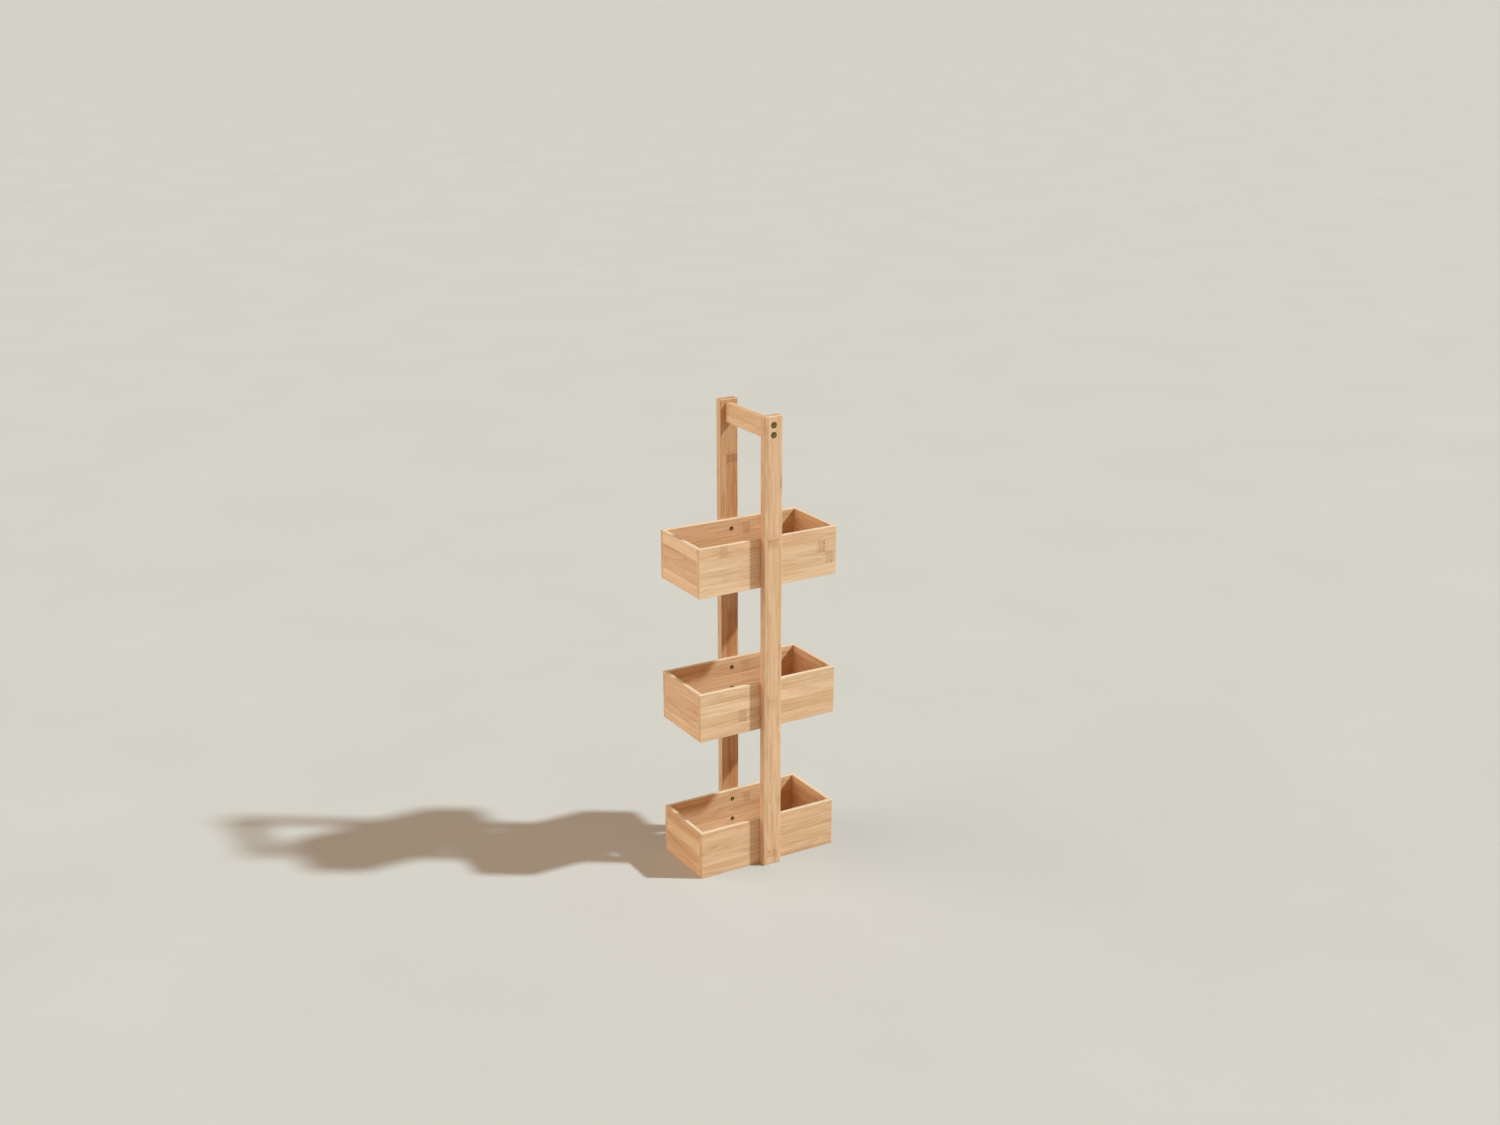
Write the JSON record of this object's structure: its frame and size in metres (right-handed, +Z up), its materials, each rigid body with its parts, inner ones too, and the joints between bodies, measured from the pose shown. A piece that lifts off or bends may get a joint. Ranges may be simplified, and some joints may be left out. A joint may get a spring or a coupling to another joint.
{
  "type": "shower caddy",
  "caption": "Free-standing bamboo bathroom caddy: open rectangular boxes held one above another between a front and a rear upright, with a short carrying bar at the top.",
  "frame": {"origin": "on the floor, under the middle of the caddy: the centre of the bottom of its bounding box", "axes": "+X along the boxes' long sides towards the right, +Y from the front upright to the rear upright, +Z up"},
  "size_m": [0.272, 0.162, 0.82],
  "materials": {
    "bamboo_uprights": "laminated bamboo strips with the grain along the length, satin clear lacquer",
    "bamboo_boards": "edge-glued bamboo strips with the grain along the board, satin clear lacquer",
    "bamboo_floors": "thin bamboo panel, satin clear lacquer",
    "screws": "dark antique bronze, slightly worn on the edges of the recess",
    "dowels": "plain turned wood"
  },
  "bodies": {
    "root": {"front_upright": "bamboo_uprights", "rear_upright": "bamboo_uprights", "handle_bar": "bamboo_uprights", "front_handle_screws": "screws", "rear_handle_screws": "screws", "bottom_box_front": "bamboo_boards", "bottom_box_rear": "bamboo_boards", "bottom_box_left_side": "bamboo_boards", "bottom_box_right_side": "bamboo_boards", "bottom_box_floor": "bamboo_floors", "bottom_box_screws": "screws", "bottom_box_dowels": "dowels", "middle_box_front": "bamboo_boards", "middle_box_rear": "bamboo_boards", "middle_box_left_side": "bamboo_boards", "middle_box_right_side": "bamboo_boards", "middle_box_floor": "bamboo_floors", "middle_box_screws": "screws", "middle_box_dowels": "dowels", "top_box_front": "bamboo_boards", "top_box_rear": "bamboo_boards", "top_box_left_side": "bamboo_boards", "top_box_right_side": "bamboo_boards", "top_box_floor": "bamboo_floors", "top_box_screws": "screws", "top_box_dowels": "dowels"}
  },
  "joints": []
}
